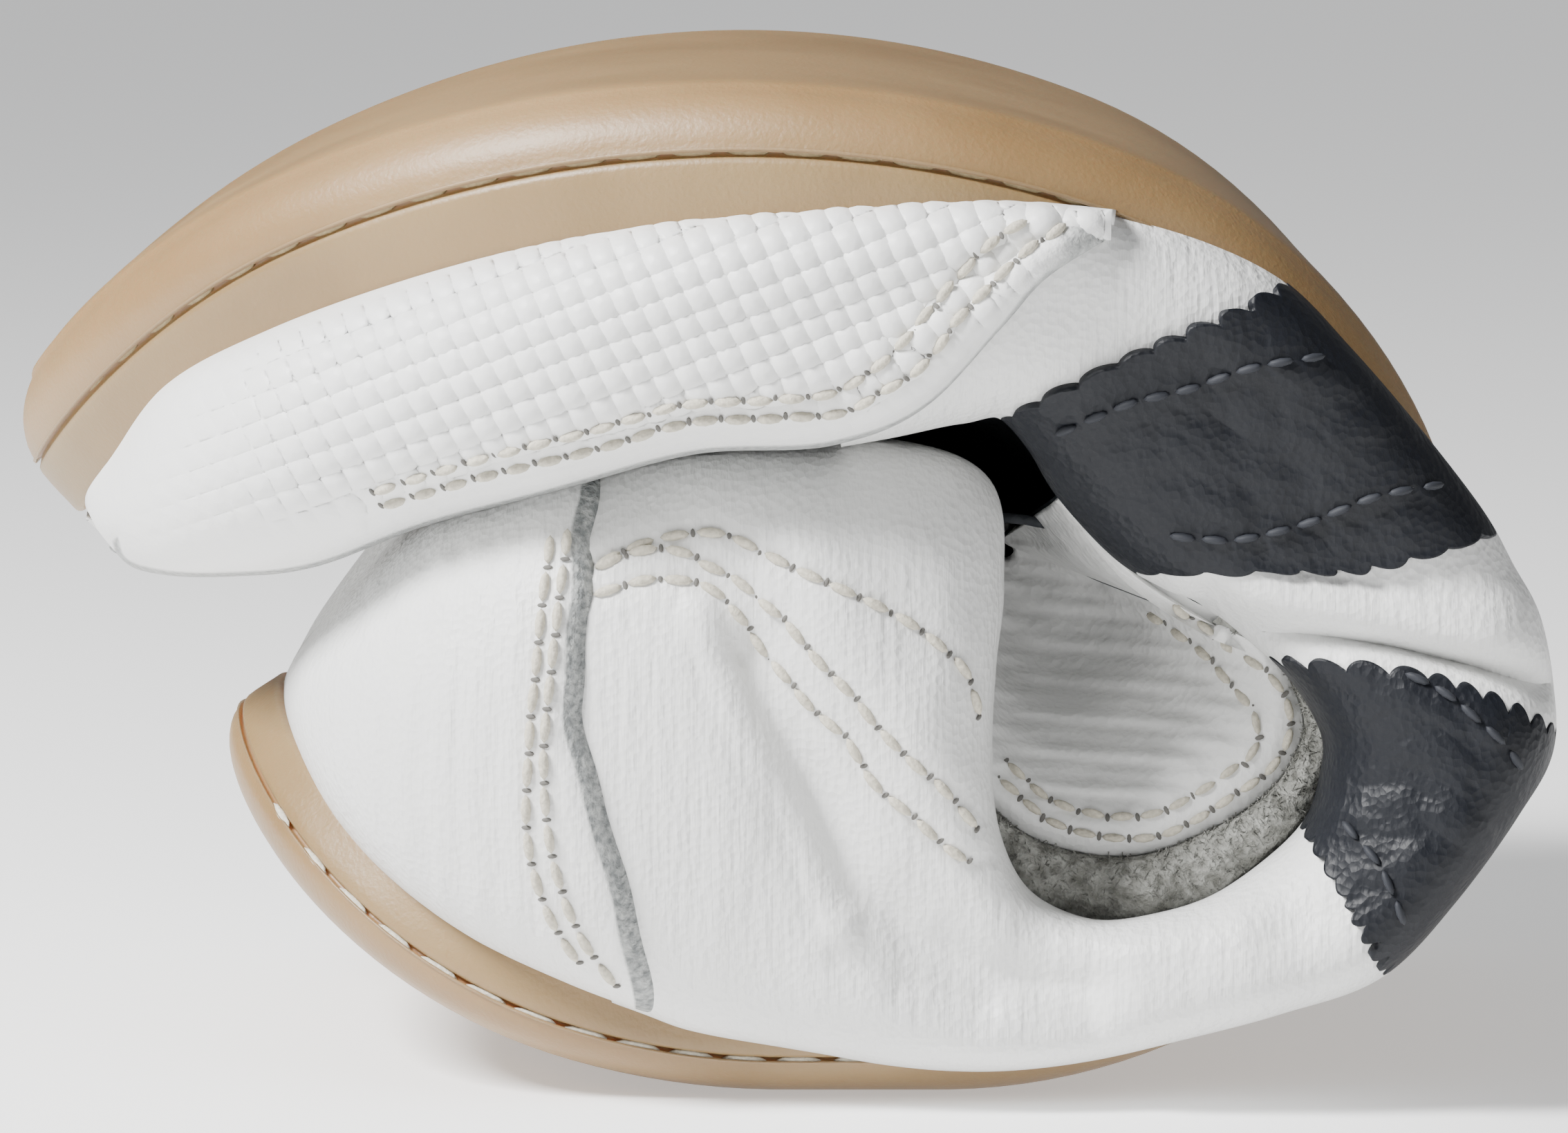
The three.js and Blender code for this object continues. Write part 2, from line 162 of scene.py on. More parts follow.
def grid_piece(name, across, up, place):
    """A grid whose every vertex is moved to place(u, v), in millimetres."""
    deselect()
    bpy.ops.mesh.primitive_grid_add(x_subdivisions=across, y_subdivisions=up, size=1)
    piece = bpy.context.object
    piece.name = piece.data.name = name
    flat = vertices(piece)
    put(piece, np.stack(place(flat[:, 0] + 0.5, flat[:, 1] + 0.5), 1))
    choose(piece)
    bpy.ops.object.shade_smooth()
    return piece


def close_up(piece):
    """Merges the seams of a wrapped grid and turns its faces outwards."""
    choose(piece)
    bpy.ops.object.mode_set(mode="EDIT")
    bpy.ops.mesh.select_all(action="SELECT")
    bpy.ops.mesh.remove_doubles(threshold=2e-5)
    bpy.ops.mesh.dissolve_degenerate(threshold=1e-5)
    bpy.ops.mesh.normals_make_consistent(inside=False)
    bpy.ops.object.mode_set(mode="OBJECT")


def modify(piece, kind, **settings):
    """Gives a piece a modifier and applies it."""
    choose(piece)
    modifier = piece.modifiers.new(kind.title(), kind)
    for key, value in settings.items():
        setattr(modifier, key, value)
    bpy.ops.object.modifier_apply(modifier=modifier.name)


def sole_ring(rows):
    """A surface round the shoe, from rows of (v, inset, share of the rim's height, share of the way out)."""

    def place(u, v):
        inset, height, share = follow(rows, v).T
        near = u <= 0.5
        s = LENGTH * ease(np.where(near, 2 * u, 2 - 2 * u))
        spine = np.clip(s, TOE_CAP, LENGTH - HEEL_CAP)
        out_s, out_y = s - spine, np.where(near, -1, 1) * half_width(s)
        reach = np.hypot(out_s, out_y)
        size = np.clip(reach - inset, 0, None) * share / np.maximum(reach, 1e-6)
        height = height * follow(RIM, s)[:, 0]
        lean = TOE_LEAN * height * share * np.exp(-s / LEAN_FADE)
        return roll(spine + out_s * size - lean, out_y * size, height)

    return place


def finish_piece(piece, *nodes, slot, paint):
    """Paints a piece, fixes it to the shoe and puts it in the place of its CAD nodes."""
    piece.data.materials.clear()
    piece.data.materials.append(paint)
    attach(piece, "root")
    if nodes:
        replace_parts(piece, *nodes)
    return piece


class Wire:
    """A socket of a material's node tree, so that maths on it can be written as an expression."""

    def __init__(self, tree, socket):
        self.tree, self.socket = tree, socket

    def add(self, kind, inputs=None, output=0, **settings):
        node = self.tree.nodes.new(kind)
        for key, value in settings.items():
            setattr(node, key, value)
        for key, value in (inputs or {}).items():
            if isinstance(value, Wire):
                self.tree.links.new(value.socket, node.inputs[key])
            else:
                node.inputs[key].default_value = value
        return Wire(self.tree, node.outputs[output])

    def math(self, operation, a, b):
        return self.add("ShaderNodeMath", {0: a, 1: b}, operation=operation)

    def __add__(self, other):
        return self.math("ADD", self, other)

    def __sub__(self, other):
        return self.math("SUBTRACT", self, other)

    def __rsub__(self, other):
        return self.math("SUBTRACT", other, self)

    def __mul__(self, other):
        return self.math("MULTIPLY", self, other)

    def __pow__(self, other):
        return self.math("POWER", self, other)

    __radd__, __rmul__ = __add__, __mul__

    def noise(self, scale, detail=3.0):
        return self.add("ShaderNodeTexNoise", {"Vector": self, "Scale": scale, "Detail": detail})

    def cells(self, scale):
        return self.add("ShaderNodeTexVoronoi", {"Vector": self, "Scale": scale})

    def stretch(self, scale, turn=0.0):
        inputs = {"Vector": self, "Scale": scale, "Rotation": (0, turn, 0)}
        return self.add("ShaderNodeMapping", inputs)

    def between(self, low, high):
        """0 below low and 1 above high."""
        return self.add("ShaderNodeMapRange", {"Value": self, "From Min": low, "From Max": high})

    def mix(self, a, b):
        """Colour a where this is 0 and b where it is 1."""
        return self.add("ShaderNodeMix", {0: self, 6: a, 7: b}, 2, data_type="RGBA")

    def bump(self, distance, under=None, strength=1.0):
        inputs = {"Height": self, "Distance": distance, "Strength": strength}
        if under:
            inputs["Normal"] = under
        return self.add("ShaderNodeBump", inputs)


def start_paint(name, **constants):
    """A new material: its place socket, and a function that links its last wires up."""
    material = bpy.data.materials.new(name)
    material.use_nodes = True
    tree = material.node_tree
    shader = tree.nodes["Principled BSDF"]
    for key, value in constants.items():
        shader.inputs[key.replace("_", " ").title().replace("Ior", "IOR")].default_value = value
    place = Wire(tree, tree.nodes.new("ShaderNodeTexCoord").outputs["Object"])

    def finish(**wires):
        for key, wire in wires.items():
            tree.links.new(wire.socket, shader.inputs[key.replace("_", " ").title()])
        return material

    return place, finish


place, finish = start_paint("gum_rubber", subsurface_weight=0.15, coat_weight=0.15, coat_roughness=0.4)
cloud = place.noise(22, 4)
tan = cloud.between(0.35, 0.7).mix((0.21, 0.125, 0.05, 1), (0.31, 0.195, 0.088, 1))
tan = (place.noise(900, 2).between(0.6, 0.8) * 0.35).mix(tan, (0.26, 0.165, 0.08, 1))
pores = place.noise(2200, 3).bump(0.00006)
ripple = place.noise(130, 2).bump(0.0004, pores, 0.5)
RUBBER = finish(base_color=tan, roughness=0.34 + 0.25 * cloud, normal=ripple)

outsole = grid_piece("outsole_moulding", 320, 50, sole_ring(SOLE_SECTION))
close_up(outsole)
finish_piece(outsole, "outsole", slot="rubber", paint=RUBBER)


# Sole stitching. Thick waxed thread in the groove of the side wall, sunk deeper towards the toe. Each stitch
# is a stretched ball, and a row of them is one mesh.
THREAD_COLOUR, OLD_THREAD_COLOUR = (0.60, 0.56, 0.46, 1), (0.46, 0.36, 0.2, 1)
SOLE_PITCH = 4.6
SOLE_STITCH = (SOLE_PITCH * 0.8, 0.7, 0.6)


def copies(name, count, kind="ball"):
    """One small ball or spike and its copies, as one mesh, with the unit shape of each copy."""
    deselect()
    if kind == "ball":
        bpy.ops.mesh.primitive_uv_sphere_add(segments=8, ring_count=6, radius=1)
    else:
        bpy.ops.mesh.primitive_cone_add(vertices=3, radius1=1, depth=1, end_fill_type="NOTHING")
    piece = bpy.context.object
    piece.name = piece.data.name = name
    shape = vertices(piece)
    modify(piece, "ARRAY", count=count, use_relative_offset=False)
    choose(piece)
    bpy.ops.object.shade_smooth()
    return piece, shape


def unit(ways):
    return ways / np.maximum(np.linalg.norm(ways, axis=-1, keepdims=True), 1e-9)


def lay(name, centres, ways, outs, sizes, kind="ball"):
    """Copies of a ball or spike at these centres, each (along, across, out) in size."""
    centres, sizes = np.asarray(centres), np.broadcast_to(sizes, (len(centres), 3))
    ways = unit(ways)
    across = unit(np.cross(outs, ways))
    outs = np.cross(ways, across)
    piece, shape = copies(name, len(centres), kind)
    at = centres[:, None] + sum(
        axis[:, None] * shape[None, :, k, None] * sizes[:, None, k, None] / 2
        for k, axis in enumerate((ways, across, outs)))
    put(piece, at.reshape(-1, 3))
    return piece


def thread_paint(name, colour):
    place, finish = start_paint(name, roughness=0.75)
    fibre = place.stretch((1, 1, 1), 0.6).noise(2600, 4)
    dull = tuple(v * 0.75 for v in colour[:3]) + (1,)
    return finish(base_color=fibre.between(0.35, 0.65).mix(dull, colour), normal=fibre.bump(0.00015))


THREAD = thread_paint("waxed_thread", THREAD_COLOUR)
OLD_THREAD = thread_paint("thread_sunk_in_rubber", OLD_THREAD_COLOUR)


def sole_row(name, start, end, sunk):
    """Stitches in the groove on both sides of the shoe, between two distances from the toe."""
    middles = np.arange(start, end, SOLE_PITCH)
    rows = []
    for side in (-1, 1):
        before, there, after = (
            np.stack(roll(s, side * (half_width(s) - sunk), (GROOVE - 0.01) * follow(RIM, s)[:, 0]), 1)
            for s in (middles - 0.5, middles, middles + 0.5))
        rows.append((there, after - before, np.tile((0.0, side, 0.0), (len(middles), 1))))
    centres, ways, outs = (np.concatenate(v) for v in zip(*rows))
    return lay(name, centres, ways, outs, SOLE_STITCH)


sole_thread = sole_row("sole_stitches_heel", 196, 284, 0.45)
finish_piece(sole_thread, "sole_thread", slot="cream_thread", paint=THREAD)
toe_thread = sole_row("sole_stitches_toe", 6, 196, 0.8)
finish_piece(toe_thread, slot="cream_thread", paint=OLD_THREAD)


# Camera and floor. The shoe is looked at from its lateral side and a little from above, on a pale floor.
LOOK_AT = np.array((-2.3, -35.0, 43.3))
VIEW_MIDDLE = (-2.3, 43.0)
DISTANCE, TILT = 600.0, math.radians(6.7)
VIEW_WIDTH = 126.7
SENSOR = 36.0

FORWARD = np.array((0, math.cos(TILT), -math.sin(TILT)))
UPWARD = np.array((0, math.sin(TILT), math.cos(TILT)))
EYE = LOOK_AT - FORWARD * DISTANCE

camera = bpy.data.objects.new("camera", bpy.data.cameras.new("camera"))
bpy.context.collection.objects.link(camera)
camera.location = EYE * MM
camera.rotation_euler = (math.pi / 2 - TILT, 0, 0)
camera.data.sensor_width = SENSOR
camera.data.lens = SENSOR * DISTANCE / VIEW_WIDTH
camera.data.clip_start = 0.01
bpy.context.scene.camera = camera


def sight(x, z):
    """The line of sight through a point (x, z) of the upright plane that the camera looks at."""
    x, z = np.asarray(x, float), np.asarray(z, float)
    way = np.zeros(x.shape + (3,))
    way += FORWARD * DISTANCE + UPWARD * (z - VIEW_MIDDLE[1])[..., None]
    way[..., 0] += x - VIEW_MIDDLE[0]
    return way


def seen(x, z, y):
    """The point at depth y on the line of sight through (x, z)."""
    way = sight(x, z)
    return EYE + way * ((y - EYE[1]) / way[..., 1])[..., None]


deselect()
bpy.ops.mesh.primitive_plane_add(size=6, location=(0, 0, 0))
floor = bpy.context.object
floor.name = "floor"
_, finish = start_paint("pale_floor", roughness=0.8, base_color=(0.9, 0.9, 0.895, 1),
                        emission_color=(1, 1, 1, 1), emission_strength=0.5)
floor.data.materials.append(finish())


# Lights. One large soft light from above and the left, a weaker one from the right, and a pale sky.
LIT = (0, 0, 0.04)


def soft_light(name, size, watts, place):
    lamp = bpy.data.objects.new(name, bpy.data.lights.new(name, "AREA"))
    bpy.context.collection.objects.link(lamp)
    lamp.data.size, lamp.data.energy = size, watts
    lamp.location = place
    way = np.subtract(LIT, place)
    lean = math.acos(-way[2] / np.linalg.norm(way))
    lamp.rotation_euler = (lean, 0, math.atan2(way[1], way[0]) - math.pi / 2)


soft_light("key_light", 0.2, 15, (-0.42, -0.28, 0.52))
soft_light("fill_light", 0.6, 0.8, (0.7, -0.5, 0.3))
world = bpy.data.worlds.new("studio")
world.use_nodes = True
sky = world.node_tree.nodes["Background"].inputs
sky["Color"].default_value = (0.95, 0.97, 1.0, 1)
sky["Strength"].default_value = 0.19
bpy.context.scene.world = world


# White leather. Full-grain, finished matt, with fine grain and short wrinkles. Its cut edges are grey fuzz
# where the attribute "raw" is 1, and shade is painted into its deep folds: they are darker where the fold
# attribute is 1.
def leather(name, light, dark, grain=0.00005, wrinkle=0.00035, rough=0.42, streak=0.0, shine=0.5):
    place, finish = start_paint(name, specular_ior_level=shine)
    raw = place.add("ShaderNodeAttribute", attribute_name="raw", output=2)
    crease_shade = place.add("ShaderNodeAttribute", attribute_name="crease_shade", output=2)
    cloud = place.noise(40, 4)
    # Painted shade: the fold attribute mixes the face colour towards the dark colour in deep folds.
    face = (cloud.between(0.3, 0.75) * 0.6 + 0.4 * crease_shade).mix(light, dark)
    edge = place.noise(1500, 3).between(0.35, 0.65).mix((0.16, 0.17, 0.17, 1), (0.36, 0.37, 0.36, 1))
    colour = raw.between(0.35, 0.65).mix(face, edge)
    fine = place.cells(1500).bump(grain)
    long = place.stretch((1, 1, 0.35), 0.5).noise(260, 5).bump(wrinkle, fine, 0.8)
    if streak:
        long = place.stretch((1, 0.3, 0.07), -0.2).noise(1300, 3).bump(streak, long)
    fuzz = place.noise(2500, 2).bump(0.0003, long)
    normal = raw.add("ShaderNodeMix", {0: raw, 4: long, 5: fuzz}, 1, data_type="VECTOR")
    return finish(base_color=colour, roughness=rough + 0.15 * cloud + 0.4 * raw, normal=normal)


WHITE = leather("white_leather", (0.76, 0.76, 0.745, 1), (0.64, 0.645, 0.64, 1), grain=0.00009,
                streak=0.00022)


def blend_rows(knots, rows, v):
    """A smooth path through rows of points, one path for each vertex, read at v."""
    knots = np.asarray(knots, float)
    slope = np.gradient(rows, knots, axis=0)
    i = np.clip(np.searchsorted(knots, v, side="right") - 1, 0, len(knots) - 2)
    each = np.arange(len(v))
    span = (knots[i + 1] - knots[i])[:, None]
    t = (v[:, None] - knots[i][:, None]) / span
    a, b = rows[i, each], rows[i + 1, each]
    out, back = slope[i, each] * span, slope[i + 1, each] * span
    return a + t * out + t * t * (3 * (b - a) - 2 * out - back) + t**3 * (2 * (a - b) + out + back)


TUCK, TUCK_SHARE = 6, 0.3
SECTION = (-0.12, 0, 0.5, 1, 1.12)


def skin(table, key, v):
    """A side of the upper, from its low edge (v = 0) to its high edge (v = 1) and tucked in past both: x and
    z as seen from the camera, and the depth y."""
    low, belly, top = np.split(follow(table, key), 3, axis=-1)
    inwards = np.clip(-TUCK_SHARE * low[:, 2:], 0, TUCK) * np.array((0.0, 0.0, 1.0))
    rows = np.stack((low + inwards, low, belly, top, top + inwards))
    return blend_rows(SECTION, rows, v)


def distance_to(outline, x, z):
    """How far each point is from a line drawn through these points."""
    line = np.asarray(outline, float)
    at = np.stack((x, z), -1)
    best = np.full(len(x), 1e9)
    for a, b in zip(line[:-1], line[1:]):
        way = b - a
        t = np.clip((at - a) @ way / (way @ way), 0, 1)
        best = np.minimum(best, np.linalg.norm(at - a - t[:, None] * way, axis=-1))
    return best


def ridge(outline, x, z, height, width):
    """Relief of a rounded fold along a line."""
    return height * np.exp(-((distance_to(outline, x, z) / width) ** 2))


def groove(outline, x, z, depth, width):
    """Relief of a soft crease along a line, with a little swelling on both sides of it."""
    d = distance_to(outline, x, z) / width
    return depth * (0.45 * np.exp(-((d - 1.7) ** 2) / 0.9) - np.exp(-d * d))


def panel(name, across, up, table, keys, heights=(-0.12, 1.12), relief=None, marks=None, lift=0.0):
    """A leather piece on a side of the upper between two keys, each a number or a function of v."""
    shown = {}

    def place(u, v):
        v = heights[0] + (heights[1] - heights[0]) * v
        start, end = (k(v) if callable(k) else k for k in keys)
        x, z, y = skin(table, start + (end - start) * u, v).T
        for key, value in (marks(u, v, x, z) if marks else {}).items():
            shown[key] = value
        rise = relief(u, v, x, z) if relief else 0
        return seen(x, z, y - lift - rise).T

    piece = grid_piece(name, across, up, place)
    for key, value in shown.items():
        piece.data.attributes.new(key, "FLOAT", "POINT").data.foreach_set("value", value)
    return piece


def flip_faces(piece):
    """Turns a piece's faces round."""
    choose(piece)
    bpy.ops.object.mode_set(mode="EDIT")
    bpy.ops.mesh.select_all(action="SELECT")
    bpy.ops.mesh.flip_normals()
    bpy.ops.object.mode_set(mode="OBJECT")


ROLL_HALVES, TOE_END = 44, -70


def mirror(piece, name, *nodes):
    """The same piece on the medial side of the shoe, allowing for the swing of the toe."""
    choose(piece)
    bpy.ops.object.duplicate()
    twin = bpy.context.object
    twin.name = twin.data.name = name
    at = vertices(twin) / MM
    forward = np.clip(1 - (at[:, 0] - TOE_END) / SWING_LENGTH, 0, 1)
    forward = np.where(at[:, 2] > ROLL_HALVES, forward, 0)
    at[:, 1] = 2 * SWING * forward**2 - at[:, 1]
    put(twin, at)
    flip_faces(twin)
    if "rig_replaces" in twin:
        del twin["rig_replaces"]
    if nodes:
        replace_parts(twin, *nodes)
    return twin


# Each side of the shoe, from the ball to the heel: (place, low edge x z y, belly x z y, top edge x z y).
SIDE = (
    (72, 2, 71.4, -46.5, 0, 62, -50, -2, 53.2, -42),
    (84, 12, 71.8, -46, 9, 63.4, -50.5, 6, 54.6, -43),
    (96, 26, 70.4, -45, 19, 64.2, -50.5, 12, 55.8, -43),
    (106, 37.5, 65, -44, 27, 61, -49, 16, 55.9, -42),
    (112, 42.4, 60, -44, 31.5, 57.6, -47.5, 18.4, 53.3, -41),
    (119, 47.6, 54, -42.5, 36, 52, -46.5, 20.8, 49.4, -40),
    (126, 52.8, 47.3, -41.5, 40.5, 44.6, -45.5, 25, 44.8, -39),
    (134, 55.5, 42.6, -41, 45.5, 40.4, -46, 29, 42.3, -38.5),
    (142, 57.8, 38, -41, 49.5, 37.6, -46, 32, 41, -38),
    (147, 58.6, 33.5, -40, 48.9, 35.8, -44, 35, 38.8, -38),
    (151, 58.8, 29.3, -41, 50.8, 33, -46.5, 38.5, 35.8, -38),
    (158, 56, 23.5, -42, 50.5, 25.5, -47, 42.2, 30, -37.5),
    (164, 51, 16.6, -42.5, 47, 19.5, -47, 42.2, 26, -37),
    (170, 45.6, 11, -42.5, 43.2, 15.5, -46.5, 40.4, 21.4, -36.5),
    (177, 37.5, 8, -42, 37, 12.5, -45.5, 34, 16, -36.5),
    (184, 29.5, 5.9, -41.5, 29, 10.8, -45, 28, 13.8, -36.5),
    (191, 22.5, 4.3, -41, 22, 10.2, -45, 22, 13.4, -36.5),
    (198, 16, 3.5, -40.5, 16.2, 10.5, -45, 16.4, 16.3, -36.5),
    (204, 11, 3.5, -40.5, 12, 13.5, -45, 13.9, 21.5, -37.5),
    (210, 6, 4, -40.5, 8.5, 17, -45.5, 13.3, 28, -38),
    (216, 1.5, 4.8, -40.5, 6, 21, -46, 13.6, 35, -38),
    (222, -2.5, 5.5, -40.5, 3.5, 26, -46, 14.2, 41.5, -38),
    (228, -6, 6.1, -40.5, 0, 31, -46.5, 13.2, 49.3, -37),
    (234, -8.6, 6.6, -40.5, -4, 32.5, -47, 5.5, 52.1, -36),
    (240, -10.6, 7.1, -40.3, -12, 32.5, -47, -6, 52.4, -36),
    (246, -12.8, 7.9, -40, -19.5, 31.5, -46.5, -17.6, 50.8, -35),
    (254, -19.5, 10.4, -39, -26, 31.5, -45, -24, 48.6, -33),
    (262, -27.3, 14.1, -36.5, -32, 32.5, -41, -28.8, 46.9, -29),
    (270, -33.8, 18.9, -31.5, -36.8, 33.5, -34, -31.4, 45.8, -22),
    (278, -38.5, 24.2, -22, -40, 34.5, -24, -32.6, 45.1, -13),
    (284, -41, 28.8, -11, -40.8, 35.2, -12, -33, 44.7, -6),
    (290, -42, 31.5, 0, -40.8, 35.5, 0, -33, 44.5, 0),
)


# Quarters. One soft white leather piece on each side, from the forefoot back to the heel. It is puffed where
# the vamp is pinched in the roll, and has soft folds and a padded collar along its edge inside the roll.
GAP_CREASE = ((31.9, 41.2), (35.1, 39.2), (38.5, 38.1), (43.6, 37.3), (46.9, 36.8), (53.1, 35.1),
              (57.7, 33.4))
LONG_FOLD = ((-9.2, 39.3), (-7.8, 35), (-6.4, 31.1), (-4.5, 27.8), (-2.9, 25.6), (-1.5, 22.6), (-0.4, 19.6),
             (0.9, 16.6), (2.3, 14.1))
VALLEY = ((-5, 35.5), (-3, 30.5), (-0.6, 26), (1.4, 21.5), (4, 17), (8, 12.8), (14, 9.6), (22, 8.6))
PUFF = ((0, 43), (6, 33), (11, 25.5), (17, 16.5), (25, 12.6), (34, 12.8))
COLLAR_PAD = ((-8, 49.5), (3, 48.5), (9.5, 42), (11.5, 34))
LOWER_FOLDS = (((7.2, 9), (12, 7.2), (17, 6.1), (23, 5.9)), ((2, 11.5), (8, 9.6), (14, 7.4)))
QUARTER_ROWS = {
    "upper": ((-17.7, 42.6), (-15.2, 44.2), (-9.8, 45.6), (-7.1, 45.5), (-4.3, 44.2), (-1.7, 43), (0.6, 41.9),
              (3.6, 40.5), (7.1, 38.8), (10.3, 36.5), (12.4, 34.2), (13.1, 32)),
    "middle": ((-17.7, 42.6), (-14.7, 44), (-10.3, 44), (-8.5, 43), (-6.6, 42.3), (-5.2, 41.2), (-3.8, 40),
               (-2.4, 38.9), (-0.8, 37), (1, 34.9), (3.1, 32.8), (5.3, 30.1), (7.8, 27.5), (10.6, 25),
               (12.7, 22.4)),
    "lower": ((-17.9, 40.5), (-15.4, 41.4), (-11.5, 41.9), (-9.4, 41.6), (-7.8, 40.9), (-6.6, 39.8),
              (-5.2, 38.2), (-3.8, 36.1), (-2, 34), (-0.1, 31.7), (2.7, 29.2), (5, 25.6), (8.2, 22.8),
              (11.4, 20), (13, 19)),
}


def quarter_relief(u, v, x, z):
    rise = groove(GAP_CREASE, x, z, depth=2.2, width=1.4)
    rise += ridge(LONG_FOLD, x, z, height=0.8, width=0.9)
    rise += ridge(VALLEY, x, z, height=-2.3, width=3.0)
    rise += ridge(PUFF, x, z, height=1.9, width=3.8)
    for fold in LOWER_FOLDS:
        rise += groove(fold, x, z, depth=0.35, width=1.3)
    for row in QUARTER_ROWS.values():
        rise += groove(row, x, z, depth=0.25, width=0.8)
    return rise + ridge(COLLAR_PAD, x, z, height=1.2, width=4)


# Painted shade: marks the crease between the two halves of the roll, so the leather is painted darker along
# it.
def quarter_marks(u, v, x, z):
    return {"crease_shade": ridge(GAP_CREASE, x, z, height=1, width=0.7)}


quarter = panel("quarter_leather_lateral", 420, 90, SIDE, (78, 250), relief=quarter_relief,
                marks=quarter_marks)
modify(quarter, "SOLIDIFY", thickness=1.2 * MM, offset=-1)
finish_piece(quarter, "quarter_lateral", slot="white_leather", paint=WHITE)
mirror(quarter, "quarter_leather_medial", "quarter_medial")


# Counter cover. White leather round the heel, laid over the quarter, with a cut edge in front.
RAW_WIDTH = 1.15
EDGE_RISE, EDGE_ROUND = 1.7, 1.9


def counter_edge(v):
    return 245.6 + 0.2 * np.sin(17 * v) + 0.12 * np.sin(41 * v + 1)


EDGE_HEIGHTS = np.linspace(-0.12, 1.12, 60)
COUNTER_EDGE_LINE = skin(SIDE, counter_edge(EDGE_HEIGHTS), EDGE_HEIGHTS)[:, :2]


def counter_relief(u, v, x, z):
    along = distance_to(COUNTER_EDGE_LINE, x, z)
    rounded = np.sqrt(np.clip(1 - (1 - np.clip(along / EDGE_ROUND, 0, 1)) ** 2, 0, 1))
    grain = 0.1 * np.sin(2.3 * x + 0.6 * np.sin(0.3 * z)) * np.clip(along / 12, 0, 1)
    return EDGE_RISE * rounded + grain


def counter_marks(u, v, x, z):
    along = distance_to(COUNTER_EDGE_LINE, x, z)
    return {"raw": np.clip(0.5 + (RAW_WIDTH - along) / 0.5, 0, 1)}


counter = panel("counter_cover_lateral", 260, 110, SIDE, (counter_edge, 290), relief=counter_relief,
                marks=counter_marks, lift=0.1)
modify(counter, "SOLIDIFY", thickness=1.0 * MM, offset=-1)
finish_piece(counter, "counter_cover", slot="white_leather", paint=WHITE)
mirror(counter, "counter_cover_medial")


# Stripes. Two navy leather strips on each side, laid over the quarter. Their edges are pinked: cut into round
# teeth about 3 mm wide.
TOOTH, TOOTH_DEPTH = 2.8, 0.5


def pinked(key, sign, length, phase=0.0):
    """A stripe's edge near a key: teeth along a line that is so many millimetres long."""

    def edge(v):
        turns = v * length / TOOTH + phase + 0.2 * np.sin(5 * v + key)
        scallop = np.abs(np.sin(math.pi * turns))
        return key + sign * TOOTH_DEPTH * (2 * scallop**0.7 - 1) * (1 + 0.3 * np.sin(9 * v + key))

    return edge


def stripe_relief(u, v, x, z):
    rise = 0.16 * np.sin(0.5 * x + 0.9 * z + 2 * np.sin(0.35 * x)) * np.sin(0.5 * z - 0.3 * x)
    rise += 0.05 * np.sin(2.6 * z + 0.7 * x + 2.5 * np.sin(0.6 * x)) * np.sin(0.9 * x + 0.4 * z)
    return rise * np.clip(6 * u, 0, 1) * np.clip(6 - 6 * u, 0, 1)


NAVY = leather("navy_leather", (0.0045, 0.0058, 0.0095, 1), (0.0025, 0.0032, 0.0055, 1), grain=0.00009,
               wrinkle=0.0007, shine=0.3)
for place_word, first, last, length in (("front", 106.3, 129.2, 27), ("rear", 150.6, 169.6, 30)):
    stripe = panel(f"stripe_{place_word}_leather_lateral", 90, 220, SIDE,
                   (pinked(first, -1, length), pinked(last, 1, length, 0.3)), relief=stripe_relief, lift=1.1)
    modify(stripe, "SOLIDIFY", thickness=1.2 * MM, offset=-1)
    finish_piece(stripe, f"stripe_{place_word}_lateral", slot="navy_leather", paint=NAVY)
    mirror(stripe, f"stripe_{place_word}_leather_medial", f"stripe_{place_word}_medial")


# Toe mudguard. White leather embossed with small pyramids, laid over the vamp round the toe. The pyramids are
# real, about 2 mm wide, and fade towards the tip.
TOE = (
    (0, -57.6, 47.8, 3.5, -56.6, 46.8, 3, -55.4, 45.8, 3.5),
    (6, -57.8, 49.3, -3, -56.8, 46.7, -5, -54.9, 44.3, -4),
    (14, -55.4, 52.1, -11.5, -54.9, 47.7, -16, -52.3, 43.5, -13),
    (24, -51.4, 56.8, -23.5, -50.5, 49.3, -29, -47, 43.4, -21),
    (36, -43.4, 61, -33, -42.4, 52, -39, -40, 44.3, -28),
    (46, -34.5, 64.4, -38, -33, 55, -44.5, -31.8, 47.4, -34),
    (56, -24.6, 67.5, -41.5, -23, 58.5, -48.5, -22, 50, -40),
    (68, -12.6, 69.9, -44.5, -11, 61.5, -50.5, -9.8, 53.3, -43.5),
    (80, -0.6, 71.2, -45.5, 0.6, 63, -51, 1.7, 54.1, -45),
    (90, 9, 71.8, -45.5, 9.5, 65, -50.8, 9, 57.2, -47),
    (98, 16.6, 71.5, -46, 15.6, 67.6, -50.2, 14.6, 63.2, -48.5),
    (104, 21, 71, -46.3, 19.6, 69.6, -49.4, 18.4, 67.4, -49),
    (108, 24.4, 70.6, -46.5, 23.6, 70.6, -48.2, 22.8, 70.3, -48.2),
)
PITCH, PYRAMID = 1.8, 0.95
TOE_EDGE_ROUND = 1.4
TOE_KEYS = np.linspace(0, 108, 80)
TOE_EDGE_LINE = skin(TOE, TOE_KEYS, np.ones(80))[:, :2]
TOE_ROWS = {
    "outer": ((20.6, 70.9), (17.1, 68.2), (13.8, 65), (11, 62), (8.6, 59.1), (5.8, 57.3), (2.9, 55.7),
              (-2.3, 55.1), (-9.8, 54.7), (-17.3, 52.6), (-26.6, 50.3), (-36, 47.6)),
    "inner": ((17.6, 71), (14.7, 69.4), (13.1, 68), (10.2, 64.4), (7.4, 61.3), (5, 59.1), (1.7, 57.2),
              (-2.3, 56.6), (-9.8, 56.2), (-17.3, 54.2), (-26.6, 51.8), (-36, 48.9)),
}


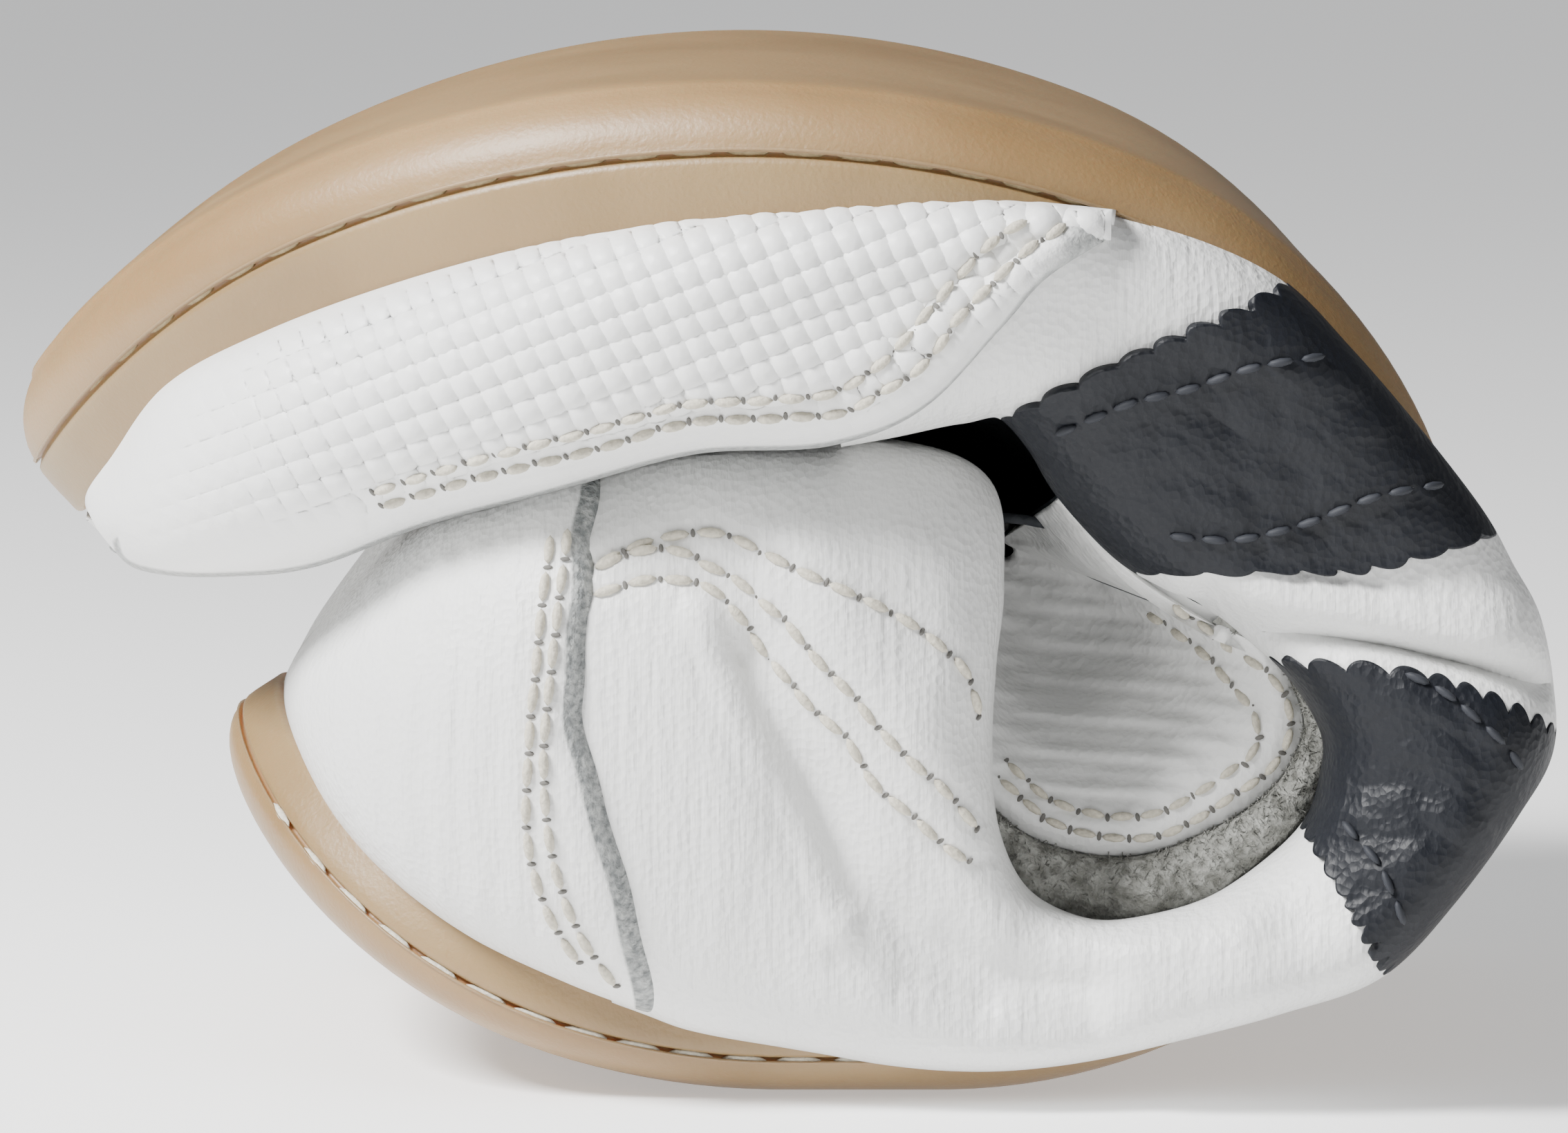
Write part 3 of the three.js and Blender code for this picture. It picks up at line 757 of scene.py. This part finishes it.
def pyramids(x, z):
    """Heights of square pyramids whose ridges cross the leather on both slants."""
    a = (x * math.cos(0.49) + z * math.sin(0.49)) / PITCH
    b = (-x * math.sin(0.35) + z * math.cos(0.35)) / PITCH
    return 1 - 2 * np.maximum(np.abs(a % 1 - 0.5), np.abs(b % 1 - 0.5))


def toe_relief(u, v, x, z):
    from_tip = np.clip((x + 58) / 26, 0.1, 1)
    fade = from_tip * np.clip((v - 0.01) * 12, 0, 1) * np.clip((0.84 - v) * 5, 0.12, 1)
    edge = np.clip(distance_to(TOE_EDGE_LINE, x, z) / TOE_EDGE_ROUND, 0, 1)
    rise = 0.3 + 1.5 * np.sqrt(np.clip(1 - (1 - edge) ** 2, 0, 1))
    for row in TOE_ROWS.values():
        rise += groove(row, x, z, 0.4, 0.6)
    return rise + PYRAMID * fade * pyramids(x, z)


def toe_marks(u, v, x, z):
    edge = distance_to(TOE_EDGE_LINE, x, z)
    return {"raw": np.clip(0.9 - edge / 0.7, 0, 0.6)}


EMBOSSED = leather("embossed_leather", (0.80, 0.80, 0.785, 1), (0.73, 0.735, 0.73, 1), grain=0.00003,
                   wrinkle=0.00012, rough=0.4)
mudguard = panel("toe_mudguard_lateral", 380, 124, TOE, (0, 108), heights=(-0.1, 1.08), relief=toe_relief,
                 marks=toe_marks)
modify(mudguard, "SOLIDIFY", thickness=1.2 * MM, offset=-1)
finish_piece(mudguard, "toe_mudguard", slot="embossed_leather", paint=EMBOSSED)
mirror(mudguard, "toe_mudguard_medial")


# Vamp. The smooth leather that spans the squashed toe box from one mudguard edge to the other.
VAMP_END = 104


def vamp_place(u, v):
    """From one mudguard edge to the other, arched up at the ball and down at the toe."""
    key = VAMP_END * u
    x, z, y = skin(TOE, key, np.full_like(u, 0.97)).T
    middle = swing(key)
    across = 2 * v - 1
    near = seen(x, z + 0.6, y)
    depth = middle + (middle - y) * across
    arch = 2.5 * (1 - across**2)
    return near[:, 0], depth, near[:, 2] + 0.8 - arch * np.clip((40 - key) / 40, 0, 1) + arch * u


vamp = grid_piece("vamp_leather", 60, 40, vamp_place)
modify(vamp, "SOLIDIFY", thickness=1.2 * MM, offset=0)
finish_piece(vamp, "vamp", slot="white_leather", paint=WHITE)


# Vamp lining. Dark cloth, pinched into a deep fold where the shoe is doubled over, between its two halves.
FOLD_LOW = ((-17, 50.4), (-6, 51.6), (5, 50.8), (9, 49.2), (13, 47.4), (19, 46.4), (25, 43.6))
FOLD_HIGH = ((-17, 52.6), (-6, 55.6), (6, 57), (16, 57.6), (22, 51.6), (27, 46.6), (32, 42.6))
FOLD_DEEP = ((-15, 51.5), (-5, 53.6), (6, 54), (13, 52.5), (17.5, 48.8), (22, 45.5), (29, 42))


def through(outline, at):
    """A smooth line through points, read at shares of its length."""
    points = np.asarray(outline, float)
    steps = np.linalg.norm(np.diff(points, axis=0), axis=1)
    key = np.concatenate(([0], np.cumsum(steps))) / steps.sum()
    return follow(np.column_stack((key, points)), at)


def fold_place(u, v):
    rows = [np.column_stack((through(line, u), np.full_like(u, y)))
            for line, y in ((FOLD_LOW, -24), (FOLD_DEEP, -4), (FOLD_HIGH, -31))]
    x, z, y = blend_rows((0, 0.5, 1), np.stack(rows), v).T
    return seen(x, z, y + 0.8 * np.sin(0.9 * x + z)).T


LINING = leather("dark_lining", (0.022, 0.025, 0.03, 1), (0.012, 0.014, 0.018, 1), 0.0001, 0.0008, 0.7)
fold = grid_piece("vamp_lining_fold", 90, 40, fold_place)
modify(fold, "SOLIDIFY", thickness=0.8 * MM, offset=0)
finish_piece(fold, "vamp_lining", slot="lining", paint=LINING)
mirror(fold, "vamp_lining_fold_medial")


# Tongue. A cupped white leather face with long wrinkles; its edge is a thick band of cut felt.
TONGUE_RIM = ((20.6, 49), (22.4, 47), (24.3, 44.6), (26.4, 42.4), (29.4, 40.2), (33.2, 38), (37, 36.2),
              (38.8, 33.4), (39.7, 30), (38.4, 26.7), (35.7, 23.8), (32.1, 21.7), (26, 19.6),
              (21.8, 19.8), (17, 21.5), (13.2, 25.2), (10.5, 30))
TONGUE_MIDDLE = (15, 45)
DISH = ((0, 1, -33.5), (0.12, 0.93, -34.4), (0.3, 0.8, -32.5), (0.55, 0.58, -26), (0.8, 0.34, -17),
        (1, 0.05, -12))


def tongue_place(u, v):
    rim = through(TONGUE_RIM, u)
    size, y = follow(DISH, v).T
    x = TONGUE_MIDDLE[0] + (rim[:, 0] - TONGUE_MIDDLE[0]) * size
    z = TONGUE_MIDDLE[1] + (rim[:, 1] - TONGUE_MIDDLE[1]) * size
    wrinkle = 0.2 * np.sin(2.1 * z + 0.5 * x + 1.5 * np.sin(0.4 * x)) + 0.15 * np.sin(4.3 * z + 0.3 * x)
    return seen(x, z, y - wrinkle * np.clip(v * 6 - 0.8, 0, 1)).T


TONGUE_WHITE = leather("tongue_leather", (0.80, 0.80, 0.785, 1), (0.68, 0.685, 0.68, 1), 0.00008, 0.0006)
tongue = grid_piece("tongue_face_lateral", 120, 80, tongue_place)
flip_faces(tongue)
modify(tongue, "SOLIDIFY", thickness=1.1 * MM, offset=-1)
finish_piece(tongue, "tongue_face", slot="white_leather", paint=TONGUE_WHITE)
mirror(tongue, "tongue_face_medial")

FELT_RIM = ((34, 40), (38.6, 37.4), (41.8, 34), (43, 30), (42, 26.4), (40, 22.6), (36, 18.5), (32.1, 15.3),
            (26, 13.6), (21.8, 13.4), (17.5, 15), (14.1, 18.6), (12.4, 24))


FELT_DEPTH, FELT_THICK = -33.6, 2.6


def felt_place(u, v):
    """A soft roll between the tongue's rim and the quarter."""
    rim = through(TONGUE_RIM, 0.24 + 0.7 * u)
    outer = through(FELT_RIM, u)
    angle = 2 * math.pi * v
    across = 0.5 - 0.5 * np.cos(angle)
    lump = 0.35 * np.sin(23 * u + 2 * np.sin(9 * u)) + 0.25 * np.sin(61 * u + 3 * v)
    x = rim[:, 0] + (outer[:, 0] - rim[:, 0]) * across
    z = rim[:, 1] + (outer[:, 1] - rim[:, 1]) * across
    return seen(x, z, FELT_DEPTH - (FELT_THICK + lump) * np.sin(angle)).T


place, finish = start_paint("cut_felt", roughness=1.0)
tuft = place.noise(900, 4)
grey = tuft.between(0.3, 0.7).mix((0.17, 0.17, 0.15, 1), (0.42, 0.42, 0.39, 1))
FELT = finish(base_color=grey, normal=tuft.bump(0.0012))
felt = grid_piece("tongue_felt_edge", 160, 24, felt_place)
close_up(felt)
finish_piece(felt, "tongue_foam", slot="foam", paint=FELT)

FIBRES = 3200
FIBRE_SIZE = (0.14, 0.14, 1.9)
random = np.random.default_rng(7)
u, v = random.uniform(0.02, 0.98, FIBRES), random.uniform(0.03, 0.5, FIBRES)
leans = np.array((0.0, -1.0, 0.0)) + random.normal(0, 0.7, (FIBRES, 3))
ways = np.cross(leans, random.normal(0, 1, (FIBRES, 3)))
fibres = lay("felt_fibres", felt_place(u, v).T, ways, leans, FIBRE_SIZE, kind="spike")
finish_piece(fibres, slot="foam", paint=FELT)


# Thread rows on the leather. Cream thread on white leather and dark thread on navy. Each row is drawn,
# dropped on its leather along the line of sight, and made of stitches; cream ones get small dark balls at
# their needle holes, as painted shade.
SIGHT_STEPS = (-0.4, 0, 0.4)
STITCH_SHARE, STITCH_WIDTH, STITCH_RISE = 0.84, 0.85, 0.16
HOLE_SHADE_SIZE = (0.4, 0.85, 0.24)


def drop(piece, outline, pitch):
    """Middles, ways and outward ways of stitches along a line, on the leather of a piece."""
    points = np.asarray(outline, float)
    length = np.linalg.norm(np.diff(points, axis=0), axis=1).sum()
    bpy.context.view_layer.update()
    found = []
    for share in np.arange(0.5 * pitch, length, pitch) / length:
        ends = []
        for step in SIGHT_STEPS:
            x, z = through(outline, np.array([np.clip(share + step * pitch / length, 0, 1)]))[0]
            way = sight(x, z)
            hit, where, out, _ = piece.ray_cast(EYE * MM, tuple(way / np.linalg.norm(way)))
            if hit:
                ends.append((np.array(where) / MM, np.array(out)))
        if len(ends) == len(SIGHT_STEPS):
            found.append((ends[1][0], ends[2][0] - ends[0][0], ends[1][1]))
    return [np.array(v) for v in zip(*found)]


def thread_row(name, piece, outline, pitch, nodes=(), twins=(), width=STITCH_WIDTH, dark=False):
    """Stitches along a line on a piece, and the same on the medial side."""
    centres, ways, outs = drop(piece, outline, pitch)
    random = np.random.default_rng(len(centres))
    ways = ways + random.normal(0, 0.05, ways.shape)
    row = lay(name, centres + outs * STITCH_RISE, ways, outs, (pitch * STITCH_SHARE, width, STITCH_WIDTH))
    slot, paint = ("navy_thread", DARK_THREAD) if dark else ("cream_thread", THREAD)
    finish_piece(row, *nodes, slot=slot, paint=paint)
    mirror(row, name + "_medial", *twins)
    if not dark:
        # Small dark flattened balls at the stitch ends: painted shade in the needle holes.
        ends = centres + unit(ways) * pitch / 2 + outs * 0.02
        finish_piece(lay(name + "_holes", ends, ways, outs, HOLE_SHADE_SIZE), slot="navy_thread", paint=PAINTED_HOLE_SHADE)


_, finish = start_paint("dark_thread", roughness=0.7, base_color=(0.012, 0.014, 0.02, 1))
DARK_THREAD = finish()
# Colour of the painted shade in the needle holes.
_, finish = start_paint("needle_hole_shade", roughness=0.9, base_color=(0.13, 0.125, 0.115, 1))
PAINTED_HOLE_SHADE = finish()

COUNTER_ROWS = {
    "front": ((-19.7, 46.4), (-20, 43.9), (-20.4, 40.8), (-20.8, 37.5), (-21.2, 33.6), (-21.6, 29.7),
              (-21.6, 24), (-20.6, 18), (-18.6, 13), (-16.2, 9.6)),
    "back": ((-21.1, 45.8), (-21.4, 42.9), (-21.8, 40.3), (-22.1, 36.9), (-22.5, 33.1), (-22.9, 28.3),
             (-22.8, 19.8), (-20.6, 13.6), (-18.2, 10.3)),
}
for word, outline in COUNTER_ROWS.items():
    thread_row(f"counter_stitches_{word}", counter, outline, 3.0, [f"counter_thread_{word}_lateral"],
               [f"counter_thread_{word}_medial"])
for word, outline in QUARTER_ROWS.items():
    thread_row(f"quarter_stitches_{word}", quarter, outline, 2.9, [f"quarter_thread_{word}_lateral"],
               [f"quarter_thread_{word}_medial"])

for word, outline in TOE_ROWS.items():
    thread_row(f"mudguard_stitches_{word}", mudguard, outline, 2.6, [f"mudguard_thread_{word}"])

STRIPE_ROWS = {
    "front_thread_fore": ((41.7, 60), (38.5, 59.6), (34.8, 58.9), (30.8, 57.5), (26, 56.3), (20, 53.9)),
    "front_thread_aft": ((51.4, 49.6), (48.5, 49.3), (45.3, 48.6), (40.1, 46.6), (34.1, 45.2), (28, 45.6)),
    "rear_thread_fore": ((57.4, 26.2), (56.2, 28.3), (54.3, 30.1), (50.7, 33), (46, 35)),
    "rear_thread_aft": ((47.9, 13.8), (47.1, 16.1), (45.8, 18.9), (43.7, 21.5), (41.9, 23.6)),
}
for name, outline in STRIPE_ROWS.items():
    piece = bpy.data.objects[f"stripe_{name.split('_')[0]}_leather_lateral"]
    thread_row(f"stripe_stitches_{name}", piece, outline, 2.6, [f"stripe_{name}_lateral"],
               [f"stripe_{name}_medial"], width=0.7, dark=True)

TONGUE_ROWS = {
    "outer": ((28.9, 40.2), (33.2, 36.9), (36.4, 34.7), (38.1, 32.5), (38.5, 29.8), (37.1, 26.9),
              (33.9, 24.5), (31.3, 22.8), (27.9, 21.3), (23.6, 21.2), (19.5, 22.3), (15.5, 25.4)),
    "inner": ((26.8, 39.6), (30.3, 37.1), (32.1, 35.6), (33.7, 33.7), (35.2, 32), (35.9, 30.3), (35.7, 28.2),
              (33.7, 26.4), (31, 24.6), (27.9, 23.1), (23.6, 22.8), (19.5, 24), (16, 26.8)),
}
for word, outline in TONGUE_ROWS.items():
    thread_row(f"tongue_stitches_{word}", tongue, outline, 2.4, [f"tongue_thread_{word}_lateral"],
               [f"tongue_thread_{word}_medial"], width=0.7)

# Inside of the sole. Foam fills the cup of the outsole, a fibre board lies on it, and a thin textile sock
# liner on top of both.
def plain(name, colour, rough):
    """A matt material with a fine speckle."""
    place, finish = start_paint(name, roughness=rough)
    speck = place.noise(1200, 3)
    dark = tuple(v * 0.8 for v in colour[:3]) + (1,)
    return finish(base_color=speck.between(0.35, 0.65).mix(dark, colour), normal=speck.bump(0.0001))


FOAM = plain("foam_core", (0.30, 0.29, 0.25, 1), 0.95)
BOARD = plain("fibre_board", (0.25, 0.19, 0.12, 1), 0.9)
CLOTH = plain("textile_lining", (0.035, 0.04, 0.048, 1), 0.9)

for name, node, inset, low, high, slot, paint in (
    ("sole_foam_slab", "foam_filler", 3.9, 0.46, 0.74, "foam", FOAM),
    ("insole_board_sheet", "insole_board", 4.3, 0.76, 0.84, "board", BOARD),
    ("sock_liner_sheet", "sock_liner", 4.8, 0.86, 0.97, "lining", CLOTH),
):
    sheet = grid_piece(name, 160, 20, sole_ring((
        (0, 0, low, 0), (0.2, inset, low, 0.6), (0.42, inset, low, 1), (0.58, inset, high, 1),
        (0.8, inset, high, 0.6), (1, 0, high, 0),
    )))
    close_up(sheet)
    finish_piece(sheet, node, slot=slot, paint=paint)


# Inside of the upper. Stiff board in the toe and round the heel, and textile lining behind the quarters, the
# collar and the tongue. Each follows the leather that it is glued to, a few millimetres further in.
for name, table, keys, heights, lift, slot, paint, nodes, twins in (
    ("toe_puff_board", TOE, (4, 50), (0, 1.05), -2.4, "board", BOARD, ["toe_puff"], []),
    ("heel_stiffener_board", SIDE, (251, 290), (0, 1.05), -2.2, "board", BOARD, ["heel_stiffener"], []),
    ("quarter_lining_cloth", SIDE, (128, 250), (0, 1.08), -4.6, "lining", CLOTH, ["quarter_lining_lateral"],
     ["quarter_lining_medial"]),
    ("collar_lining_cloth", SIDE, (216, 290), (0.5, 1.08), -9, "lining", CLOTH, ["collar_lining"], []),
):
    layer = panel(name, 120, 30, table, keys, heights=heights, lift=lift)
    modify(layer, "SOLIDIFY", thickness=0.7 * MM, offset=0)
    finish_piece(layer, *nodes, slot=slot, paint=paint)
    mirror(layer, name + "_medial", *twins)


def tongue_back_place(u, v):
    x, y, z = tongue_place(u, 0.1 + 0.88 * v)
    return x, y + 2.8, z


tongue_back = grid_piece("tongue_back_cloth", 90, 40, tongue_back_place)
flip_faces(tongue_back)
modify(tongue_back, "SOLIDIFY", thickness=0.7 * MM, offset=0)
finish_piece(tongue_back, "tongue_back", slot="lining", paint=CLOTH)
mirror(tongue_back, "tongue_back_cloth_medial")


# Collar foam. A soft roll inside the top edge of the quarters, round the heel. One half is filled by a short
# cloth simulation, in which no point may move further than a cap, and the other half is its mirror copy.
FOAM_THICK, FOAM_DEEP, FOAM_CAP = 3.2, 8.0, 1.2


def foam_place(u, v):
    key = 218 + 71 * u
    full = np.ones_like(u)
    x, z, y = skin(SIDE, key, full).T
    under_x, under_z, _ = skin(SIDE, key, 0.7 * full).T
    down = unit(np.stack((under_x - x, under_z - z), 1))
    thin = np.sqrt(np.clip(1 - (2 * u - 1) ** 8, 0.02, 1))
    angle = 2 * math.pi * v
    reach = FOAM_DEEP / 2 * (1.3 - thin * np.cos(angle))
    near = y + 4.2 - FOAM_THICK / 2 * thin * np.sin(angle)
    return seen(x + down[:, 0] * reach, z + down[:, 1] * reach, near).T


def swell(piece, voxel, cap):
    """Fills a pad by cloth simulation, and stops every point at a cap from where it began."""
    modify(piece, "REMESH", mode="VOXEL", voxel_size=voxel * MM)
    start = vertices(piece)
    choose(piece)
    cloth = piece.modifiers.new("Cloth", "CLOTH")
    cloth.settings.use_pressure = True
    cloth.settings.uniform_pressure_force = 4
    cloth.settings.effector_weights.gravity = 0
    for number in range(1, 21):
        bpy.context.scene.frame_set(number)
    bpy.ops.object.modifier_apply(modifier=cloth.name)
    bpy.context.scene.frame_set(1)
    moved = vertices(piece) - start
    far = np.linalg.norm(moved, axis=1, keepdims=True)
    put(piece, (start + moved * np.minimum(1, cap * MM / np.maximum(far, 1e-9))) / MM)
    modify(piece, "SUBSURF", levels=1)


collar_foam = grid_piece("collar_foam_roll", 90, 24, foam_place)
close_up(collar_foam)
swell(collar_foam, 1.4, FOAM_CAP)
finish_piece(collar_foam, "collar_foam", slot="foam", paint=FOAM)
collar_twin = mirror(collar_foam, "collar_foam_roll_medial")
